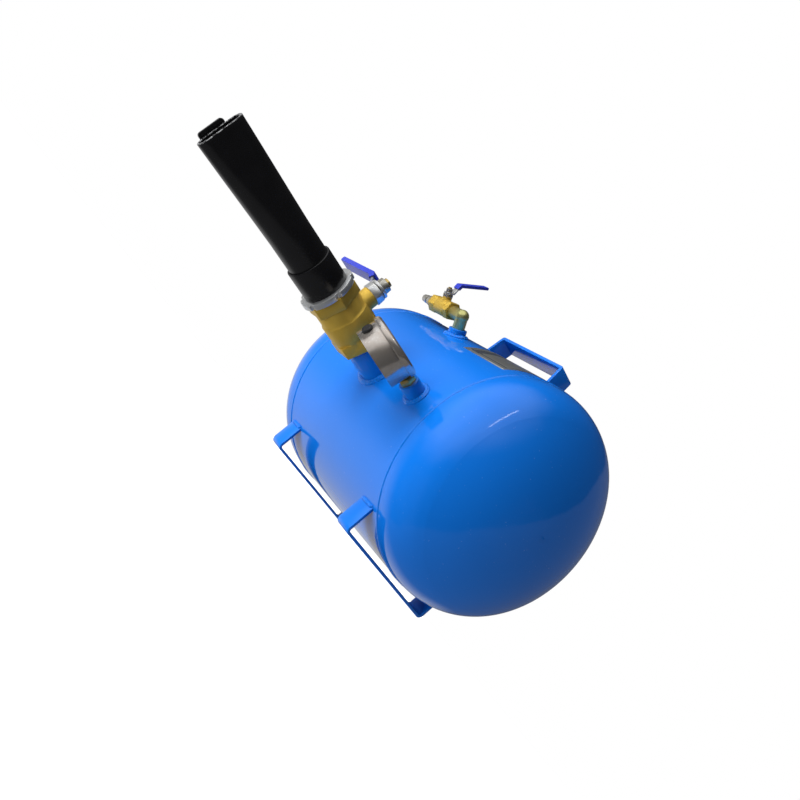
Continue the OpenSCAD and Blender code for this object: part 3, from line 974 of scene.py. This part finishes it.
@dataclass
class Gauge:
    """The pressure gauge with its dial."""

    steel: Finish
    brass: Finish
    rubber: Finish
    lens: Finish
    white: Finish
    ink: Finish
    red: Finish
    centre: Colour = (-183.4, -85.4, 136.0)
    face: float = 5.4
    lean: float = 11.5
    sweep: float = 270.0
    top_value: int = 12
    numbers: float = 17.2
    tick_edge: float = 26.0
    tick_print: float = 0.08
    tick_steps: int = 5
    ticks: tuple[tuple[float, float], ...] = ((4.2, 0.75), (3.2, 0.5), (1.9, 0.28))
    arc_edges: tuple[float, float] = (26.6, 27.9)
    arc_print: float = 0.07
    arc_sweep: float = 45.0
    parts: list[str] = field(default_factory=lambda: [
        "gauge_frame", "gauge_sector", "gauge_tube"])

    def at(self, angle: float, radius: float, lift: float = 0.0) -> Matrix:
        """Place on the dial, turned to face outwards.

        Args:
            angle: degrees clockwise from twelve o'clock.
            radius: millimetres from the centre.
            lift: millimetres above the face.

        Returns:
            A matrix in metres.
        """
        turn = math.radians(angle)
        spot = Vector((-math.cos(turn) * radius, math.sin(turn) * radius, self.face + lift))
        spin = Matrix.Rotation(math.pi / 2 - turn, 4, "Z")
        return (Matrix.Translation(Vector(self.centre) * MM)
                @ Matrix.Rotation(math.radians(self.lean), 4, "X")
                @ Matrix.Translation(spot * MM) @ spin)

    def scale(self) -> None:
        """Prints the ticks of the scale."""
        bm = bmesh.new()
        steps = self.top_value * self.tick_steps
        for step in range(steps + 1):
            angle = -self.sweep / 2 + self.sweep * step / steps
            rank = (0 if step % (2 * self.tick_steps) == 0
                    else 1 if step % self.tick_steps == 0 else 2)
            long, wide = self.ticks[rank]
            size = Matrix.Diagonal((wide * MM, long * MM, self.tick_print * MM, 1.0))
            place = self.at(angle, self.tick_edge - long / 2, self.tick_print / 2)
            bmesh.ops.create_cube(bm, size=1.0, matrix=place @ size)
        Workshop.fit(Workshop.link("dial_ticks", bm), "tank", self.ink)

    def arc(self) -> None:
        """Prints the red arc at the top of the scale."""
        bm = bmesh.new()
        inner, outer = self.arc_edges
        count = 24
        rows = []
        for i in range(count + 1):
            angle = self.sweep / 2 - self.arc_sweep * (1 - i / count)
            rows.append([self.at(angle, radius, lift).translation
                         for radius, lift in ((inner, 0.0), (outer, 0.0),
                                              (outer, self.arc_print),
                                              (inner, self.arc_print))])
        Workshop.loft(bm, rows, False)
        Workshop.fit(Workshop.link("dial_arc", bm), "tank", self.red)

    def digits(self) -> None:
        """Prints the numbers."""
        bm = bmesh.new()
        for value in range(0, self.top_value + 1, 2):
            curve = bpy.data.curves.new("digit", "FONT")
            curve.body = str(value)
            curve.size = 5.2 * MM
            curve.extrude = 0.04 * MM
            curve.align_x = "CENTER"
            curve.align_y = "CENTER"
            holder = bpy.data.objects.new("digit", curve)
            mesh = bpy.data.meshes.new_from_object(holder)
            angle = -self.sweep / 2 + self.sweep * value / self.top_value
            upright = Matrix.Rotation(math.radians(angle), 4, "Z")
            mesh.transform(self.at(angle, self.numbers, 0.04) @ upright)
            bm.from_mesh(mesh)
            bpy.data.objects.remove(holder)
            bpy.data.curves.remove(curve)
            bpy.data.meshes.remove(mesh)
        Workshop.fit(Workshop.link("dial_numbers", bm), "tank", self.ink)

    def build(self) -> None:
        """Builds the gauge."""
        Workshop.eased("gauge_case", "gauge_can", "tank", self.steel, 1.3, 4)
        Workshop.eased("gauge_bezel", "gauge_rim", "tank", self.steel, 0.7, 3)
        Workshop.eased("gauge_socket", "gauge_hex", "tank", self.brass, 0.4)
        Workshop.eased("gauge_plug", "blow_out_plug", "tank", self.rubber, 0.9, 3)
        Workshop.dress("gauge_lens", self.lens)
        Workshop.dress("gauge_dial", self.white)
        Workshop.dress("gauge_pointer", self.ink)
        for node in self.parts:
            Workshop.dress(node, self.brass)
        self.scale()
        self.arc()
        self.digits()


@dataclass
class FillValve:
    """The small valve with its elbow and plug."""

    brass: Finish
    zinc: Finish
    nickel: Finish
    yellow: Finish
    vinyl: Finish
    stem: Finish
    seat: Finish
    ball: Finish

    def build(self) -> None:
        """Builds the fill valve."""
        Workshop.eased("fill_elbow", "elbow_fitting", "tank", self.yellow, 0.5)
        Workshop.eased("fill_valve_body", "fill_casting", "tank", self.brass, 0.45, 2)
        Workshop.eased("fill_valve_cap", "fill_end", "tank", self.brass, 0.45)
        Workshop.eased("fill_gland_nut", "fill_gland", "tank", self.nickel, 0.25)
        Workshop.eased("fill_plug", "quick_plug", "tank", self.nickel, 0.35)
        Workshop.eased("fill_lever", "fill_lever_bar", "fill_handle", self.zinc, 0.2)
        Workshop.eased("fill_lever_grip", "fill_grip", "fill_handle", self.vinyl, 0.9, 4)
        Workshop.eased("fill_lever_nut", "fill_nut", "fill_handle", self.nickel, 0.3)
        Workshop.eased("fill_stem", "fill_spindle", "fill_handle", self.stem, 0.15)
        for node in ("fill_seats", "fill_packing"):
            Workshop.dress(node, self.seat)
        Workshop.dress("fill_ball", self.ball)


def main() -> None:
    """Builds the studio and every sub-assembly."""
    logging.basicConfig(level=logging.INFO, format="%(name)s: %(message)s")
    blue = Enamel("blue_paint", (0.003, 0.118, 0.50))
    black = BarrelEnamel("black_paint", (0.0035, 0.0035, 0.004))
    collar = BarrelEnamel("black_paint", (0.0035, 0.0035, 0.004), mouth=-1.0)
    low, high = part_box("nameplate")
    foil = Foil("label_foil", (0.50, 0.51, 0.50),
                centre=tuple((low + high) / 2), half=(0.038, (high.x - low.x) / 2))
    brass = ForgedBrass("cast_brass", (0.60, 0.40, 0.065))
    turned = Metal("turned_brass", (0.62, 0.43, 0.13), (0.70, 0.52, 0.20), 0.2, Lay.ROUND_X)
    yellow = Metal("yellow_zinc", (0.66, 0.64, 0.26), (0.74, 0.62, 0.24), 0.3)
    zinc = Metal("zinc_plate", (0.72, 0.74, 0.76), (0.80, 0.80, 0.78), 0.32)
    nickel = Metal("nickel_plate", (0.50, 0.48, 0.43), (0.60, 0.58, 0.52), 0.22)
    steel = Metal("stainless", (0.60, 0.54, 0.49), (0.72, 0.69, 0.66), 0.13, Lay.ROUND_Z,
                  0.00001)
    chrome = Metal("plated_ball", (0.72, 0.73, 0.75), (0.76, 0.76, 0.78), 0.09)
    vinyl = Soft("blue_vinyl", (0.020, 0.032, 0.33), 0.3)
    rubber = Soft("black_rubber", (0.012, 0.012, 0.013), 0.5)
    plastic = Soft("seat_plastic", (0.80, 0.80, 0.77), 0.5)
    white = Soft("white_dial", (0.86, 0.86, 0.84), 0.4, 0.00001)
    ink = Soft("pointer_black", (0.010, 0.010, 0.011), 0.4, 0.00001)
    red = Soft("pointer_black", (0.50, 0.015, 0.012), 0.4, 0.00001)
    lens = ClearLens("clear_lens", (0.95, 0.97, 0.98))
    Studio().build()
    Vessel(blue, foil).build()
    Stand(blue).build()
    OutletValve(brass, zinc, nickel, vinyl, turned, plastic, chrome).build()
    Barrel(black, collar, zinc).build()
    Gauge(steel, turned, rubber, lens, white, ink, red).build()
    FillValve(brass, zinc, nickel, yellow, vinyl, turned, plastic, chrome).build()


if __name__ == "__main__":
    main()
